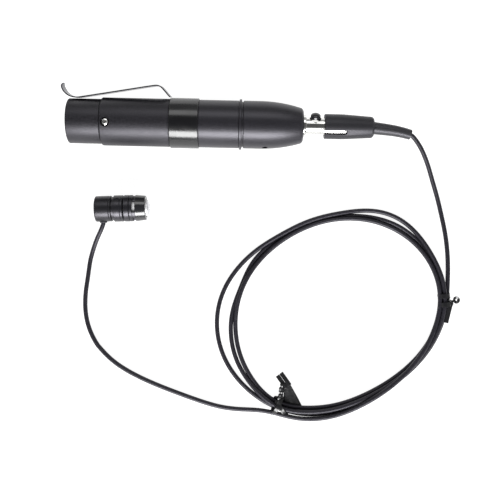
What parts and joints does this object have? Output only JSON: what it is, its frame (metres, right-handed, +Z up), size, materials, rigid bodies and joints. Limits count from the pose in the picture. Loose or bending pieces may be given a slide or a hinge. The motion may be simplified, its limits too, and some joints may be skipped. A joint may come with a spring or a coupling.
{
  "type": "lavalier microphone",
  "caption": "Small cylindrical lavalier microphone head on a thin coiled cord, with a latching miniature plug in a tubular in-line preamplifier with a balanced output and a belt clip.",
  "frame": {"origin": "bottom centre of the preamplifier and microphone head together, on the surface they lie on", "axes": "+X along the preamplifier from its output connector to its plug, +Y from the cord's coil towards the belt clip, +Z up"},
  "size_m": [0.1745, 0.1454, 0.0216],
  "materials": {
    "body_paint": "matte",
    "clip_steel": "polished",
    "band_gloss": "gloss",
    "nickel": "polished",
    "gold": "polished",
    "black_plastic": "satin",
    "button_gloss": "gloss",
    "rubber": "matte",
    "board": "satin",
    "component": "matte",
    "foam": "matte",
    "anodised": "satin"
  },
  "bodies": {
    "preamp": {"xlr_shell": "body_paint", "xlr_insert": "black_plastic", "xlr_pin_1": "nickel", "xlr_pin_2": "nickel", "xlr_pin_3": "nickel", "xlr_retaining_screw": "nickel", "body_tube": "body_paint", "seam_ring": "body_paint", "nose_shell": "body_paint", "nose_set_screw": "clip_steel", "circuit_board": "board", "capacitor_1": "component", "capacitor_2": "component", "amplifier_chip": "component", "output_transistor": "component", "filter_choke": "component", "ground_spring": "nickel", "jack_shell": "nickel", "jack_nut": "nickel", "jack_insert": "black_plastic", "jack_pin_1": "gold", "jack_pin_2": "gold", "jack_pin_3": "gold", "jack_pin_4": "gold"},
    "clip_band": {"clip_band": "band_gloss"},
    "clip_arm": {"clip_arm": "clip_steel"},
    "microphone": {"plug_shell": "nickel", "plug_insert": "black_plastic", "plug_contact_1": "gold", "plug_contact_2": "gold", "plug_contact_3": "gold", "plug_contact_4": "gold", "latch_spring": "nickel", "plug_handle": "black_plastic", "cord_clamp": "nickel", "strain_relief": "rubber", "plug_lead": "rubber", "cable_coil": "rubber", "mic_lead": "rubber", "side_tie": "rubber", "lower_tie": "rubber", "head_rear_cap": "anodised", "cord_grommet": "rubber", "head_barrel": "anodised", "contact_insulator": "black_plastic", "contact_pin": "gold", "cartridge_housing": "anodised", "cartridge_can": "nickel", "front_grille": "nickel", "foam_disc": "foam", "microphone_capsule": "nickel", "damping_felt": "foam", "capsule_board": "board"},
    "latch_button": {"latch_button": "button_gloss"}
  },
  "joints": [
    {"name": "clip_swivel", "type": "hinge", "parent": "preamp", "child": "clip_band", "pos_m": [0.00028, 0.0137, 0.0108], "axis": [1, 0, 0], "continuous": true},
    {"name": "clip_flex", "type": "hinge", "parent": "clip_band", "child": "clip_arm", "pos_m": [-0.00602, 0.02453, 0.01271], "axis": [0, 0.1736, -0.9848], "range_deg": [0, 10], "stiffness_Nm_per_rad": 1.2},
    {"name": "plug_release", "type": "slide", "parent": "preamp", "child": "microphone", "axis": [1, 0, 0], "range_m": [0, 0.012]},
    {"name": "latch_press", "type": "slide", "parent": "microphone", "child": "latch_button", "axis": [0, -0.788, -0.6157], "range_m": [0, 0.0008], "stiffness_N_per_m": 800}
  ]
}
